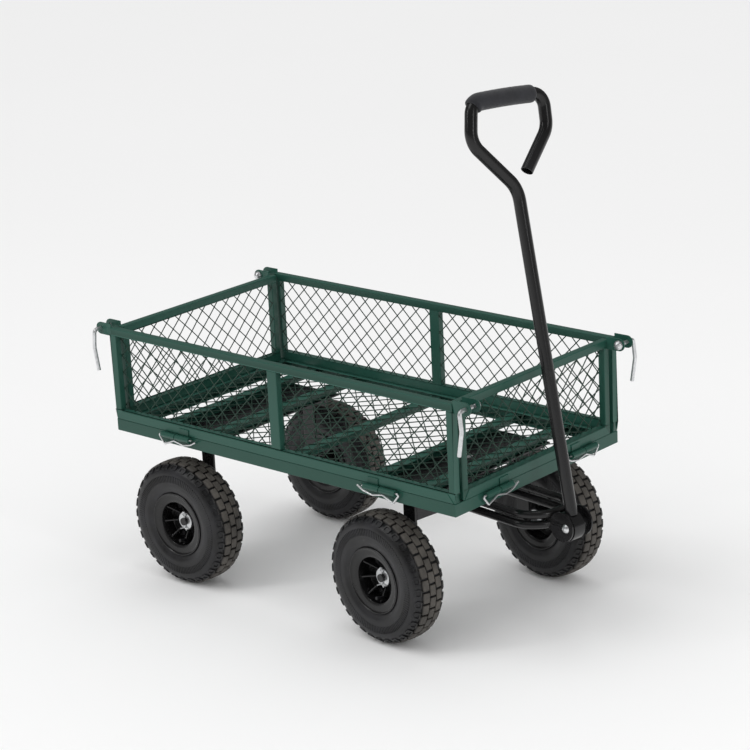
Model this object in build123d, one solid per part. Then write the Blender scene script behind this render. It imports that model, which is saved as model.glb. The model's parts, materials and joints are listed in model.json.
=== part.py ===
"""Four-wheeled garden cart with fold-down mesh sides, as separate pieces in one frame.

+X points forward to the pull handle, +Y to the cart's left side and +Z up. The origin is
on the ground, under the middle of the deck. The front axle, drawbar and handle are parked
at a small steering angle, and the handle leans back against its stop.
"""

import math
import os

from build123d import *

# Deck and sides
deck_length = 900.0
deck_width = 500.0
deck_bottom = 302.0
deck_top = 327.0
sheet = 2.0  # wall of the pressed deck channels
flange = 20.0  # depth of the deck channels' flanges
floor_thick = 2.5
floor_inset = 10.0
member_width = 25.0
member_places = (-350.0, -230.0, 0.0, 210.0, 330.0)
side_gap = 0.5  # a side's bottom rail clears the deck by this
side_top = 520.5
tube = 15.0  # square tube of the side frames
bottom_rail = 19.0
middle_post = 25.0
corner_gap = 9.0  # between an end panel's post and the long side beside it
wire_pitch = 35.0  # across the diamonds of the side mesh
floor_pitch = 44.0
strip = 2.2
mesh_thick = 2.4

# Hinges and their lock wires
pin_height = 322.0
pin_out = 7.0  # hinge axis outboard of the deck's faces
barrel_radius = 6.0
barrel_length = 38.0
barrel_half_gap = 1.0
wire_radius = 2.0
wire_clearance = 0.1
weld_tab = 4.0
strap_thick = 3.0
strap_rise = 19.0
strap_inset = 6.0
strap_off_deck = 0.4
wire_bend = 3.0
side_hinge_x = 272.0
end_hinge_y = 130.0
wire_route = ((-44, 0), (49, 0), (33, -20), (6, -9), (-19, -14), (-41, -9.5), (-56, -1))

# Corner latches
ear_thick = 3.0
ear_radius = 12.5
ear_reach = 30.0  # from the panel face to the middle of the ear's round end
ear_height = 515.0
outer_ear_y = 247.5
inner_ear_y = 221.0
rod_radius = 4.0
rod_fit = 0.1
rod_tip_gap = 0.3  # the drawn-back tip clears the end panel's post by this
rod_out_y = 264.5
rod_x_step = (4.0, -4.0)  # the hanging grip's kink and end, along X
rod_z_drop = (37.0, 85.0)
rod_bends = (7.0, 14.0)
rod_travel = 10.5
socket_radius = 9.5
socket_height = 10.0
socket_clearance = 0.3

# Wheels and axles
tyre_radius = 130.0
tyre_half_width = 40.0
track_half = 220.0
front_axle_x = 270.0
rear_axle_x = -290.0
axle_radius = 8.0
axle_end = 18.0  # outboard of the tyre's middle plane
hub_radius = 20.0
hub_inboard = -36.0
hub_outboard = 9.0
bearing_radius = 17.5
bearing_width = 11.0
fit = 0.05
rolling_gap = 0.3
# Half sections of the tyre and rim, as distances out from the middle plane and radii
tyre_outside = [(24, 48.3), (32.6, 64.5), (37.5, 74), (tyre_half_width, 92), (38.5, 108),
                (34.5, 121), (25, 128), (0, tyre_radius)]
tyre_inside = [(0, 121), (20, 120), (28, 114), (32, 104), (33, 92), (31, 78), (25, 66),
               (16, 56), (14, 48.3)]
rim_web = 2.6
rim_outline = [(0.1, hub_radius), (rim_web, hub_radius), (rim_web, 45.5), (31, 45.5), (33.4, 48.5),
               (36.5, 64), (36.5, 66), (34.5, 66), (33.2, 63.5), (24.5, 48), (0.1, 48)]
ribs = 8
rib_thick = 3.0
rib_depth = 24.0
rib_reach = 46.0
hub_bore_room = 4.0
sleeve_wall = 4.0
washer_thick = 2.2
washer_radius = 18.0
cotter_out = 14.0  # outboard of the tyre's middle plane
cotter_radius = 1.5
cotter_room = 0.15
cotter_reach = (14.0, 12.0)  # below and above the axle's middle
cotter_eye = (3.6, 1.2)
leg_y = 150.0
leg_thick = 6.0
leg_width = 32.0
leg_flare = 22.0
stub_head = (6.0, 13.0)  # length and radius of a stub axle's head, inside its leg
plate_thick = 4.0
pivot_plate_x = 70.0
pivot_plate_y = 175.0

# Steering, drawbar and handle
parked_steer = -6.5
king_pin_radius = 8.0
king_head_radius = 13.0
king_head = 9.0
king_nut = 13.0
thrust_radius = 30.0
bolster_top = 296.7
bolster_thick = 6.0
bolster_half_x = 40.0
tie_thick = 6.0
tie_height = (226.0, 270.0)
loop_radius = 8.0
loop_wall = 2.0
loop_half = 57.0
loop_tip_x = 512.0
loop_heights = (238.0, 258.0)
pivot_x = 554.0
pivot_z = 239.0
cheek_inner = (18.5, 30.0)  # the right and left cheeks' inner faces, from the handle's plane
cheek_thick = 3.5
cheek_radius = 29.0
cheek_back = 11.0  # the cheeks' round end is centred this far behind the bolt
cheek_drop = 8.5  # and this far below the middle of the tie plate
tail_reach = 10.0  # the cheeks' tails run back past the loops' tips by this
tail_height = (228.0, 251.0)
bolt_radius = 5.0
bolt_head_radius = 10.0
bolt_head = 5.0
bolt_nut_radius = 9.0
bolt_nut = 8.0
spacer_radius = 10.0
spacer_play = (0.2, 0.1)
knuckle_half = 14.0
knuckle_radius = 28.0
knuckle_back = 27.0  # its flat back face, behind the bolt
knuckle_swing = 33.4  # its corners stay within this of the bolt, to clear the loops
lean_back = 10.8
handle_radius = 12.0
handle_wall = 1.8
handle_route = ((0, 12), (0, 640), (-96, 741), (-79, 811), (102, 801), (98, 735), (30, 667))
handle_bends = (60.0, 42.0, 25.0, 28.0, 42.0)
grip_radius = 17.0
grip_span = (0.278, 0.878)  # as shares of the route's stretch round its third bend

half_length = deck_length / 2
half_width = deck_width / 2
side_bottom = deck_top + side_gap
side_hinge_y = half_width + pin_out
end_hinge_x = half_length + pin_out
end_half = half_width - tube - corner_gap
across = (0, 1, 0)


def block(x, y, z):
    """A box from its (low, high) pairs along X, Y and Z."""
    low = (min(x), min(y), min(z))
    size = (abs(x[1] - x[0]), abs(y[1] - y[0]), abs(z[1] - z[0]))
    return Pos(*low) * Box(*size, align=(Align.MIN,) * 3)


def rod(start, end, radius):
    """A round bar between two points."""
    start, end = Vector(*start), Vector(*end)
    plane = Plane(origin=start, z_dir=end - start)
    return extrude(plane * Circle(radius), (end - start).length)


def swept_bar(points, radius, bends, wall=0.0):
    """A bent round bar, or a tube where it has a wall."""
    path = FilletPolyline(*points, radius=bends)
    plane = Plane(origin=path @ 0, z_dir=path % 0)
    section = Circle(radius)
    if wall:
        section -= Circle(radius - wall)
    return sweep(plane * section, path=path)


def turned(outline):
    """A ring from its outline of (y, r) points, turned about the Y axis."""
    return revolve(Plane.YZ * make_face(Polyline(*outline, close=True)), Axis.Y)


def flip_y(shape):
    return mirror(shape, about=Plane.XZ)


def flip_x(shape):
    return mirror(shape, about=Plane.YZ)


def steered(shape):
    """A piece of the front axle, turned from straight ahead to its parked angle."""
    return shape.rotate(Axis((front_axle_x, 0, 0), (0, 0, 1)), parked_steer)


def leaned(shape):
    """A piece of the handle, turned from upright to its lean, then steered."""
    return steered(shape.rotate(Axis((pivot_x, 0, pivot_z), across), -lean_back))


def write(name, *shapes):
    """One node: each shape's solids side by side in one STEP file."""
    solids = [solid for shape in shapes for solid in shape.solids()]
    export_step(Compound(solids), f"parts/{name}.step")


def lattice(width, height, pitch):
    """Crossed strips at 45 degrees, clipped to a rectangle, as a flat sketch."""
    reach = (width + height) / 2
    count = int(reach / pitch) + 1
    run = 2 * reach
    strips = []
    for turn in (45, -45):
        for step in range(-count, count + 1):
            strips.append(Pos(step * pitch, 0) * Rot(0, 0, turn) * Rectangle(run, strip))
    return (Sketch() + strips) & Rectangle(width, height)


# Deck: channels with their webs outside, cross members, and the mesh floor under the flanges.


def deck_rails():
    web = half_width - sheet
    long_web = block((-half_length + sheet, half_length - sheet), (web, half_width),
                     (deck_bottom, deck_top))
    end_web = block((half_length - sheet, half_length), (-half_width, half_width),
                    (deck_bottom, deck_top))
    inner_x = half_length - sheet - flange
    long_rail, end_rail = long_web, end_web
    for z in (deck_bottom, deck_top - sheet):
        long_rail += block((-inner_x, inner_x), (web - flange, web), (z, z + sheet))
        end_rail += block((inner_x, half_length - sheet), (-web, web), (z, z + sheet))
    return long_rail, flip_y(long_rail), end_rail, flip_x(end_rail)


def cross_members():
    top = deck_top - sheet - floor_thick
    low = deck_bottom + sheet
    span = (-half_width + sheet, half_width - sheet)
    members = []
    for x in member_places:
        upright = block((x - sheet / 2, x + sheet / 2), span, (low, top - sheet))
        members.append(upright + block((x - member_width / 2, x + member_width / 2), span,
                                       (top - sheet, top)))
    return members


def deck_floor():
    flat = lattice(deck_length - 2 * floor_inset, deck_width - 2 * floor_inset, floor_pitch)
    return extrude(Pos(0, 0, deck_top - sheet - floor_thick) * flat, floor_thick)


# Hinges. Along each hinge, u is 0 between the two barrels and grows towards the corner.


def barrel(u_low, u_high):
    tube_ring = Circle(barrel_radius) - Circle(wire_radius + wire_clearance)
    return extrude(Pos(0, 0, u_low) * tube_ring, u_high - u_low)


def hinge_frame(place, u_dir):
    """The frame of one hinge: local Z along u, local X outboard."""
    on_end = abs(place[0]) > half_length
    sign = math.copysign(1, place[0] if on_end else place[1])
    out = Vector(sign, 0, 0) if on_end else Vector(0, sign, 0)
    return Plane(origin=place, x_dir=out, z_dir=u_dir)


def hinge_frames(panel):
    """The two hinges of one panel, as frames."""
    if panel in ("left", "right"):
        y = side_hinge_y if panel == "left" else -side_hinge_y
        return [hinge_frame((s * side_hinge_x, y, pin_height), (s, 0, 0)) for s in (1, -1)]
    x = end_hinge_x if panel == "front" else -end_hinge_x
    return [hinge_frame((x, s * end_hinge_y, pin_height), (0, s, 0)) for s in (1, -1)]


def in_frame(frame, out, up, u):
    """A box from its outboard, upward and along-hinge ranges, placed in a hinge's frame."""
    up_sign = 1 if frame.y_dir.Z > 0 else -1
    return frame * block(out, (up[0] * up_sign, up[1] * up_sign), u)


def deck_barrel(frame):
    body = frame * barrel(barrel_half_gap, barrel_half_gap + barrel_length)
    tab = in_frame(frame, (-pin_out, -barrel_radius + 1), (-weld_tab, 0),
                   (barrel_half_gap, barrel_half_gap + barrel_length))
    bore = frame * extrude(Circle(wire_radius + wire_clearance), barrel_length + 2)
    return body + tab - bore


def panel_barrel(frame):
    """The barrel of a panel, with its strap up the face of the bottom rail."""
    body = frame * barrel(-barrel_half_gap - barrel_length, -barrel_half_gap)
    span = (-barrel_half_gap - barrel_length + strap_inset, -barrel_half_gap - strap_inset)
    rail_low = side_bottom - pin_height
    outer = -pin_out + strap_off_deck + strap_thick
    strap = in_frame(frame, (-pin_out + strap_off_deck, outer), (0, rail_low), span)
    pad = in_frame(frame, (-pin_out, outer), (rail_low, strap_rise), span)
    return body + strap + pad


def lock_wire(frame):
    up_sign = 1 if frame.y_dir.Z > 0 else -1
    points = [frame.from_local_coords(Vector(0, v * up_sign, u)) for u, v in wire_route]
    return swept_bar(points, wire_radius, wire_bend)


# Panels. The right side and the front panel are drawn; the others are their mirror images.


def side_frame():
    y = (-half_width, -half_width + tube)
    ends = (-half_length, half_length)
    low_rail = (side_bottom, side_bottom + bottom_rail)
    post_z = (low_rail[1], side_top - tube)
    half_post = middle_post / 2
    return [
        block(ends, y, (side_top - tube, side_top)),
        block(ends, y, low_rail),
        block((half_length - tube, half_length), y, post_z),
        block((-half_length, -half_length + tube), y, post_z),
        block((-half_post, half_post), y, post_z),
    ]


def end_frame():
    x = (half_length - tube, half_length)
    ends = (-end_half, end_half)
    low_rail = (side_bottom, side_bottom + bottom_rail)
    post_z = (low_rail[1], side_top - tube)
    return [
        block(x, ends, (side_top - tube, side_top)),
        block(x, ends, low_rail),
        block(x, (end_half - tube, end_half), post_z),
        block(x, (-end_half, -end_half + tube), post_z),
    ]


def mesh_span():
    low = side_bottom + bottom_rail
    high = side_top - tube
    return high - low, (high + low) / 2


def side_mesh():
    height, middle = mesh_span()
    inner = middle_post / 2
    outer = half_length - tube
    flat = lattice(outer - inner, height, wire_pitch)
    meshes = []
    for sign in (1, -1):
        place = Plane(origin=(sign * (inner + outer) / 2, -half_width + tube, middle),
                      x_dir=(1, 0, 0), z_dir=(0, -1, 0))
        meshes.append(extrude(place * flat, mesh_thick))
    return meshes


def end_mesh():
    height, middle = mesh_span()
    flat = lattice(2 * (end_half - tube), height, wire_pitch)
    place = Plane(origin=(half_length - tube, 0, middle), x_dir=across, z_dir=(1, 0, 0))
    return [extrude(place * flat, mesh_thick)]


def ear(y, hole_radius):
    """A round-ended plate on a post's end face, standing along X, its outer face at y."""
    plane = Plane(origin=(half_length, y, ear_height), x_dir=(1, 0, 0), z_dir=(0, -1, 0))
    base = Pos(ear_reach / 2, 0) * Rectangle(ear_reach, 2 * ear_radius)
    flat = base + Pos(ear_reach, 0) * Circle(ear_radius) - Pos(ear_reach, 0) * Circle(hole_radius)
    return extrude(plane * flat, -ear_thick)


def latch_socket():
    """The domed cup behind the inner ear that the rod's tip slides into."""
    reach = half_length + ear_reach
    face = -inner_ear_y + ear_thick
    dome_radius = (socket_radius**2 + socket_height**2) / (2 * socket_height)
    ball = Pos(reach, face + socket_height - dome_radius, ear_height) * Sphere(dome_radius)
    wide = 2 * socket_radius
    slab = block((reach - wide, reach + wide), (face, face + wide),
                 (ear_height - wide, ear_height + wide))
    tip = -end_half - rod_tip_gap + rod_travel + socket_clearance
    bore = rod((reach, face - 1, ear_height), (reach, tip, ear_height),
               rod_radius + socket_clearance)
    return (ball & slab) - bore


def latch_rod():
    x = half_length + ear_reach
    points = [(x, -end_half - rod_tip_gap, ear_height), (x, -rod_out_y, ear_height)]
    for step, drop in zip(rod_x_step, rod_z_drop):
        points.append((x + step, -rod_out_y, ear_height - drop))
    return swept_bar(points, rod_radius, list(rod_bends))


# Wheels are drawn about the origin with +Y outboard.


def tyre():
    """An open shell, as the air inside it has no solid of its own."""
    outboard = turned(tyre_outside + tyre_inside)
    return outboard + flip_y(outboard)


def rim_parts():
    """The ribbed outer disc, the plain inner one bolted to it, and the hub through both."""
    sink = 0.5  # how far a rib runs into the disc
    rib = block((hub_radius - sink, rib_reach), (rim_web - sink, rim_web + rib_depth),
                (-rib_thick / 2, rib_thick / 2))
    ramp = make_face(Polyline((hub_radius - 1, hub_outboard - 2), (rib_reach + 1, rim_web + rib_depth),
                              (hub_radius - 1, 2 * rib_depth), close=True))
    rib -= Pos(0, 0, -rib_thick) * extrude(Plane.XY * ramp, 2 * rib_thick)
    outer = turned(rim_outline)
    for turn in range(ribs):
        outer += rib.rotate(Axis.Y, turn * 360 / ribs)
    outer -= rod((0, -tyre_half_width, 0), (0, tyre_half_width, 0), hub_radius)
    hub = rod((0, hub_inboard, 0), (0, hub_outboard, 0), hub_radius)
    hub -= rod((0, hub_inboard, 0), (0, hub_outboard, 0), axle_radius + hub_bore_room)
    for low in (hub_inboard, hub_outboard - bearing_width):
        hub -= rod((0, low, 0), (0, low + bearing_width, 0), bearing_radius)
    return outer, flip_y(turned(rim_outline)), hub


def bearings():
    ring = Circle(bearing_radius) - Circle(axle_radius + fit)
    plane = Plane(origin=(0, 0, 0), x_dir=(1, 0, 0), z_dir=across)
    return [extrude(plane * Pos(0, 0, low) * ring, bearing_width)
            for low in (hub_inboard, hub_outboard - bearing_width)]


def wheel_place(axle_x, side):
    return Pos(axle_x, side * track_half, tyre_radius) * Rot(0, 0, 0 if side > 0 else 180)


# Axles: a bent bracket of plate and two legs, a stub axle on each leg, sleeves and washers.


def axle_bracket(axle_x, plate_low, thick, half_x):
    """A top plate with two legs down to the axle, each flared where it meets the plate."""
    plate = block((axle_x - half_x, axle_x + half_x), (-pivot_plate_y, pivot_plate_y),
                  (plate_low, plate_low + thick))
    for side in (1, -1):
        y = (side * leg_y, side * (leg_y + leg_thick))
        leg = block((axle_x - leg_width / 2, axle_x + leg_width / 2), y,
                    (tyre_radius, plate_low))
        round_end = rod((axle_x, side * leg_y, tyre_radius),
                        (axle_x, side * (leg_y + leg_thick), tyre_radius), leg_width / 2)
        plate += leg + round_end
        flare = block((axle_x - half_x + leg_flare, axle_x + half_x - leg_flare), y,
                      (plate_low - leg_flare, plate_low))
        plate += flare
    reach = pivot_plate_y
    return plate - rod((axle_x, -reach, tyre_radius), (axle_x, reach, tyre_radius),
                       axle_radius + fit)


def axle_stubs(axle_x):
    """A short axle for each wheel, with its head on the inner face of the leg."""
    stubs = []
    head_length, head_radius = stub_head
    for side in (1, -1):
        marks = (leg_y - head_length, leg_y, track_half + axle_end)
        head_start, leg_face, end = [(axle_x, side * y, tyre_radius) for y in marks]
        stub = rod(head_start, leg_face, head_radius) + rod(leg_face, end, axle_radius)
        stubs.append(stub - cotter_hole(axle_x, side))
    return stubs


def cotter_hole(axle_x, side):
    y = side * (track_half + cotter_out)
    ends = [(axle_x, y, tyre_radius + s * (axle_radius + 1)) for s in (-1, 1)]
    return rod(*ends, cotter_radius + cotter_room)


def sleeves(axle_x):
    """The long sleeve inboard of each hub and the washer outboard of it."""
    rings = []
    face = track_half + hub_outboard + rolling_gap
    for side in (1, -1):
        spans = (
            (leg_y + leg_thick, track_half + hub_inboard - rolling_gap, axle_radius + sleeve_wall),
            (face, face + washer_thick, washer_radius),
        )
        for low, high, radius in spans:
            ends = [(axle_x, side * y, tyre_radius) for y in (low, high)]
            rings.append(rod(*ends, radius) - rod(*ends, axle_radius + fit))
    return rings


def cotters(axle_x):
    pins = []
    below, above = cotter_reach
    eye_radius, eye_wire = cotter_eye
    for side in (1, -1):
        y = side * (track_half + cotter_out)
        pin = rod((axle_x, y, tyre_radius - below), (axle_x, y, tyre_radius + above), cotter_radius)
        eye_z = tyre_radius + above + eye_radius - eye_wire / 2
        eye = Pos(axle_x, y, eye_z) * Rot(90, 0, 0) * Torus(eye_radius, eye_wire)
        pins.append(pin + eye)
    return pins


def king_pin():
    top = deck_bottom + sheet
    head = rod((front_axle_x, 0, top), (front_axle_x, 0, top + king_head), king_head_radius)
    low = bolster_top - bolster_thick - rolling_gap
    nut = rod((front_axle_x, 0, low - king_nut), (front_axle_x, 0, low), king_head_radius)
    shank = rod((front_axle_x, 0, low), (front_axle_x, 0, top), king_pin_radius)
    return head + shank + nut


def thrust_washer():
    ends = ((front_axle_x, 0, bolster_top + rolling_gap),
            (front_axle_x, 0, deck_bottom + sheet - plate_thick))
    return rod(*ends, thrust_radius) - rod(*ends, king_pin_radius + fit)


def front_bracket():
    low = bolster_top - bolster_thick
    bracket = axle_bracket(front_axle_x, low, bolster_thick, bolster_half_x)
    ends = [(front_axle_x, 0, z) for z in (low - 1, bolster_top + 1)]
    return bracket - rod(*ends, king_pin_radius + rod_fit)


# Drawbar: two stacked loops from the tie plate to the yoke, and the two cheeks on their tips.


def tie_plate():
    x = front_axle_x + leg_width / 2
    return block((x - tie_thick, x), (-leg_y, leg_y), tie_height)


def drawbar_loop(z, wall=loop_wall):
    x = front_axle_x + leg_width / 2
    points = [(x, loop_half, z), (loop_tip_x, loop_half, z), (loop_tip_x, -loop_half, z),
              (x, -loop_half, z)]
    return swept_bar(points, loop_radius, loop_half - 1, wall)


def yoke_cheeks():
    """Two plates around the handle's foot, notched over the loops' tips."""
    middle_x, middle_z = pivot_x - cheek_back, (tie_height[0] + tie_height[1]) / 2 - cheek_drop
    back_x = loop_tip_x - tail_reach
    tail_middle = Pos((middle_x + back_x) / 2, sum(tail_height) / 2)
    flat = Pos(middle_x, middle_z) * Circle(cheek_radius)
    flat += tail_middle * Rectangle(middle_x - back_x, tail_height[1] - tail_height[0])
    flat -= Pos(pivot_x, pivot_z) * Circle(bolt_radius + fit)
    cheeks = []
    right, left = cheek_inner
    for y in (left, -right - cheek_thick):
        plane = Plane(origin=(0, y, 0), x_dir=(1, 0, 0), z_dir=(0, -1, 0))
        cheek = extrude(plane * flat, -cheek_thick)
        for z in loop_heights:
            cheek -= drawbar_loop(z, wall=0.0)
        cheeks.append(cheek)
    return cheeks


def yoke_bolt():
    """A domed head outside the right cheek and a nut outside the left one."""
    right, left = [inner + cheek_thick for inner in cheek_inner]
    shank_end = left + bolt_nut + 2
    shank = rod((pivot_x, -right, pivot_z), (pivot_x, shank_end, pivot_z), bolt_radius)
    head = Pos(pivot_x, -right - bolt_head + bolt_head_radius, pivot_z) * Sphere(bolt_head_radius)
    reach = 2 * bolt_head_radius
    head &= block((pivot_x - reach, pivot_x + reach), (-right - reach, -right),
                  (pivot_z - reach, pivot_z + reach))
    plane = Plane(origin=(pivot_x, left, pivot_z), x_dir=(1, 0, 0), z_dir=across)
    flat = RegularPolygon(bolt_nut_radius, 6) - Circle(bolt_radius + fit)
    return shank + head, extrude(plane * flat, bolt_nut)


def yoke_spacers():
    rings = []
    for side, inner in zip((-1, 1), cheek_inner):
        span = (knuckle_half + spacer_play[0], inner - spacer_play[1])
        ends = [(pivot_x, side * y, pivot_z) for y in span]
        rings.append(rod(*ends, spacer_radius) - rod(*ends, bolt_radius + fit))
    return rings


def knuckle():
    """The rounded block at the foot of the handle, drawn upright in its steered frame."""
    middle = pivot_x - cheek_back
    drum = rod((middle, -knuckle_half, pivot_z), (middle, knuckle_half, pivot_z), knuckle_radius)
    beyond = 2 * knuckle_radius
    drum -= block((middle - beyond, pivot_x - knuckle_back), (-beyond, beyond),
                  (pivot_z - beyond, pivot_z + beyond))
    ends = ((pivot_x, -beyond, pivot_z), (pivot_x, beyond, pivot_z))
    return (drum & rod(*ends, knuckle_swing)) - rod(*ends, bolt_radius + rod_fit)


def handle_tube():
    points = [(pivot_x, y, pivot_z + d) for y, d in handle_route]
    return swept_bar(points, handle_radius, list(handle_bends), handle_wall)


def grip():
    """The foam sleeve along the top bar, from half way round its left bend."""
    points = [(pivot_x, y, pivot_z + d) for y, d in handle_route[2:5]]
    path = FilletPolyline(*points, radius=handle_bends[2]).trim(*grip_span)
    plane = Plane(origin=path @ 0, z_dir=path % 0)
    return sweep(plane * (Circle(grip_radius) - Circle(handle_radius + fit)), path=path)


def main():
    os.makedirs("parts", exist_ok=True)

    write("deck_rails", *deck_rails())
    write("deck_cross_members", *cross_members())
    write("deck_mesh_floor", deck_floor())
    frames = [frame for panel in ("left", "right", "front", "rear")
              for frame in hinge_frames(panel)]
    write("deck_hinge_barrels", *[deck_barrel(frame) for frame in frames])
    write("hinge_lock_wires", *[lock_wire(frame) for frame in frames])

    side, side_grid = side_frame(), side_mesh()
    end, end_grid = end_frame(), end_mesh()
    outer_ear = ear(-outer_ear_y, rod_radius + rod_fit)
    outer_ears = [outer_ear, flip_x(outer_ear)]
    inner_ear = ear(-inner_ear_y, rod_radius + socket_clearance)
    inner_ears = [inner_ear, flip_y(inner_ear)]
    sockets = [latch_socket(), flip_y(latch_socket())]
    long_sides = (("right", lambda shape: shape), ("left", flip_y))
    for name, place in long_sides:
        write(f"{name}_side_frame", *[place(piece) for piece in side])
        write(f"{name}_side_mesh", *[place(piece) for piece in side_grid])
        write(f"{name}_side_hinges", *[panel_barrel(frame) for frame in hinge_frames(name)])
        write(f"{name}_side_latch_ears", *[place(piece) for piece in outer_ears])
        write(f"front_{name}_latch_rod", place(latch_rod()))
        write(f"rear_{name}_latch_rod", flip_x(place(latch_rod())))
    for name, place in (("front", lambda shape: shape), ("rear", flip_x)):
        write(f"{name}_panel_frame", *[place(piece) for piece in end])
        write(f"{name}_panel_mesh", *[place(piece) for piece in end_grid])
        write(f"{name}_panel_hinges", *[panel_barrel(frame) for frame in hinge_frames(name)])
        write(f"{name}_panel_latch_ears", *[place(piece) for piece in inner_ears])
        write(f"{name}_panel_latch_sockets", *[place(piece) for piece in sockets])

    for end_name, axle_x, set_steer in (("front", front_axle_x, steered),
                                        ("rear", rear_axle_x, lambda shape: shape)):
        write(f"{end_name}_axle_stubs", *[set_steer(stub) for stub in axle_stubs(axle_x)])
        write(f"{end_name}_axle_sleeves", *[set_steer(ring) for ring in sleeves(axle_x)])
        write(f"{end_name}_cotter_pins", *[set_steer(pin) for pin in cotters(axle_x)])
        for side_name, side_sign in (("left", 1), ("right", -1)):
            place = wheel_place(axle_x, side_sign)
            wheel = f"{end_name}_{side_name}"
            write(f"{wheel}_tyre", set_steer(place * tyre()))
            write(f"{wheel}_rim", *[set_steer(place * piece) for piece in rim_parts()])
            write(f"{wheel}_bearings", *[set_steer(place * ring) for ring in bearings()])

    plate_low = deck_bottom + sheet - plate_thick
    write("rear_axle_bracket", axle_bracket(rear_axle_x, plate_low, plate_thick, pivot_plate_x))
    pivot_plate = block((front_axle_x - pivot_plate_x, front_axle_x + pivot_plate_x),
                        (-pivot_plate_y, pivot_plate_y), (plate_low, plate_low + plate_thick))
    bore_ends = [(front_axle_x, 0, z) for z in (plate_low - 1, plate_low + plate_thick + 1)]
    pivot_plate -= rod(*bore_ends, king_pin_radius + fit)
    write("front_pivot_plate", pivot_plate)
    write("king_pin", king_pin())
    write("pivot_thrust_washer", thrust_washer())
    write("front_axle_bracket", steered(front_bracket()))
    write("drawbar_tie_plate", steered(tie_plate()))
    for name, z in zip(("lower", "upper"), loop_heights):
        write(f"drawbar_{name}_loop", steered(drawbar_loop(z)))
    write("yoke_cheeks", *[steered(cheek) for cheek in yoke_cheeks()])
    write("yoke_bolt", *[steered(piece) for piece in yoke_bolt()])
    write("yoke_spacers", *[steered(ring) for ring in yoke_spacers()])

    block_foot = leaned(knuckle())
    write("handle_knuckle", block_foot)
    write("handle_tube", leaned(handle_tube()) - block_foot)
    write("handle_grip", leaned(grip()))


main()
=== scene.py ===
import json
import math

import bmesh
import bpy
from mathutils import Matrix, Vector

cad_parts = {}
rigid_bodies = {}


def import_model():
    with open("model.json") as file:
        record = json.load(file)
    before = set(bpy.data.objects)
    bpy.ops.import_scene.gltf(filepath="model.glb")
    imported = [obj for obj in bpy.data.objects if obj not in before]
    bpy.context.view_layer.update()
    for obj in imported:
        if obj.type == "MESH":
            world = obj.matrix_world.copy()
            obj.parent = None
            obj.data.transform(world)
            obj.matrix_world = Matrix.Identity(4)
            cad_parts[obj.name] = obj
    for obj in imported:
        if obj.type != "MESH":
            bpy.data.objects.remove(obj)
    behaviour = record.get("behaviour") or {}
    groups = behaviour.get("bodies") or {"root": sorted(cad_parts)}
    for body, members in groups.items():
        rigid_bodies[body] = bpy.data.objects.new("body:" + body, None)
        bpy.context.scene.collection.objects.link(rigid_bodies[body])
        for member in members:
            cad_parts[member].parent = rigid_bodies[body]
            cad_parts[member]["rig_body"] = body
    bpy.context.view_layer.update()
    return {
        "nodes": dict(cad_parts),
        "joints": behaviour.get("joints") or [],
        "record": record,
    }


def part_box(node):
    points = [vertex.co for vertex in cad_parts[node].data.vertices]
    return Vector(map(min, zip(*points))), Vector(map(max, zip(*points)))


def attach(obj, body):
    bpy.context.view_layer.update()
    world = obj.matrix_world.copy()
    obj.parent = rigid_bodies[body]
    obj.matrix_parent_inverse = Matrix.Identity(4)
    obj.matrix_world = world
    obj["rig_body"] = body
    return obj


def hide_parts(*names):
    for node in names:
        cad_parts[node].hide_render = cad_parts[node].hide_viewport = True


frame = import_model()
nodes = frame["nodes"]
joints = {joint["child"]: joint for joint in frame["joints"]}
slots = {part["node"]: part["material_slot"] for part in frame["record"]["subparts"]}
up = Vector((0, 0, 1))
print("frame loaded:", len(nodes), "nodes")


class Wire:
    # a socket of a shader tree: arithmetic on it adds Math nodes
    def __init__(self, tree, socket=None):
        self.tree = tree
        self.socket = socket

    def node(self, kind, settings=None, inputs=None, output=0):
        made = self.tree.nodes.new("ShaderNode" + kind)
        for key, value in (settings or {}).items():
            setattr(made, key, value)
        for key, value in (inputs or {}).items():
            if isinstance(value, Wire):
                self.tree.links.new(value.socket, made.inputs[key])
            else:
                made.inputs[key].default_value = value
        return Wire(self.tree, made.outputs[output] if made.outputs else None)

    def math(self, operation, first, second):
        return self.node("Math", {"operation": operation}, {0: first, 1: second})

    def __add__(self, other):
        return self.math("ADD", self, other)

    def __radd__(self, other):
        return self.math("ADD", other, self)

    def __rsub__(self, other):
        return self.math("SUBTRACT", other, self)

    def __mul__(self, other):
        return self.math("MULTIPLY", self, other)

    def __rmul__(self, other):
        return self.math("MULTIPLY", other, self)

    def noise(self, scale, detail=3.0, roughness=0.5):
        # self is the point that the pattern is read at, in metres
        inputs = {"Vector": self, "Scale": scale, "Detail": detail, "Roughness": roughness}
        return self.node("TexNoise", {}, inputs, "Fac")

    def stretch(self, low, high):
        return self.node("MapRange", {}, {"Value": self, "From Min": low, "From Max": high})

    def blend(self, first, second):
        # self is the share of the second colour
        return self.node("Mix", {"data_type": "RGBA"}, {0: self, 6: first, 7: second}, 2)

    def bump(self, strength, distance):
        inputs = {"Height": self, "Strength": strength, "Distance": distance}
        return self.node("Bump", {}, inputs)


def newFinish(name):
    material = bpy.data.materials.new(name)
    material.use_nodes = True
    material.node_tree.nodes.clear()
    tree = Wire(material.node_tree)
    return material, tree, tree.node("TexCoord", output="Object")


def closeFinish(tree, sockets):
    shader = tree.node("BsdfPrincipled", {}, sockets, "BSDF")
    tree.node("OutputMaterial", {}, {"Surface": shader})


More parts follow.
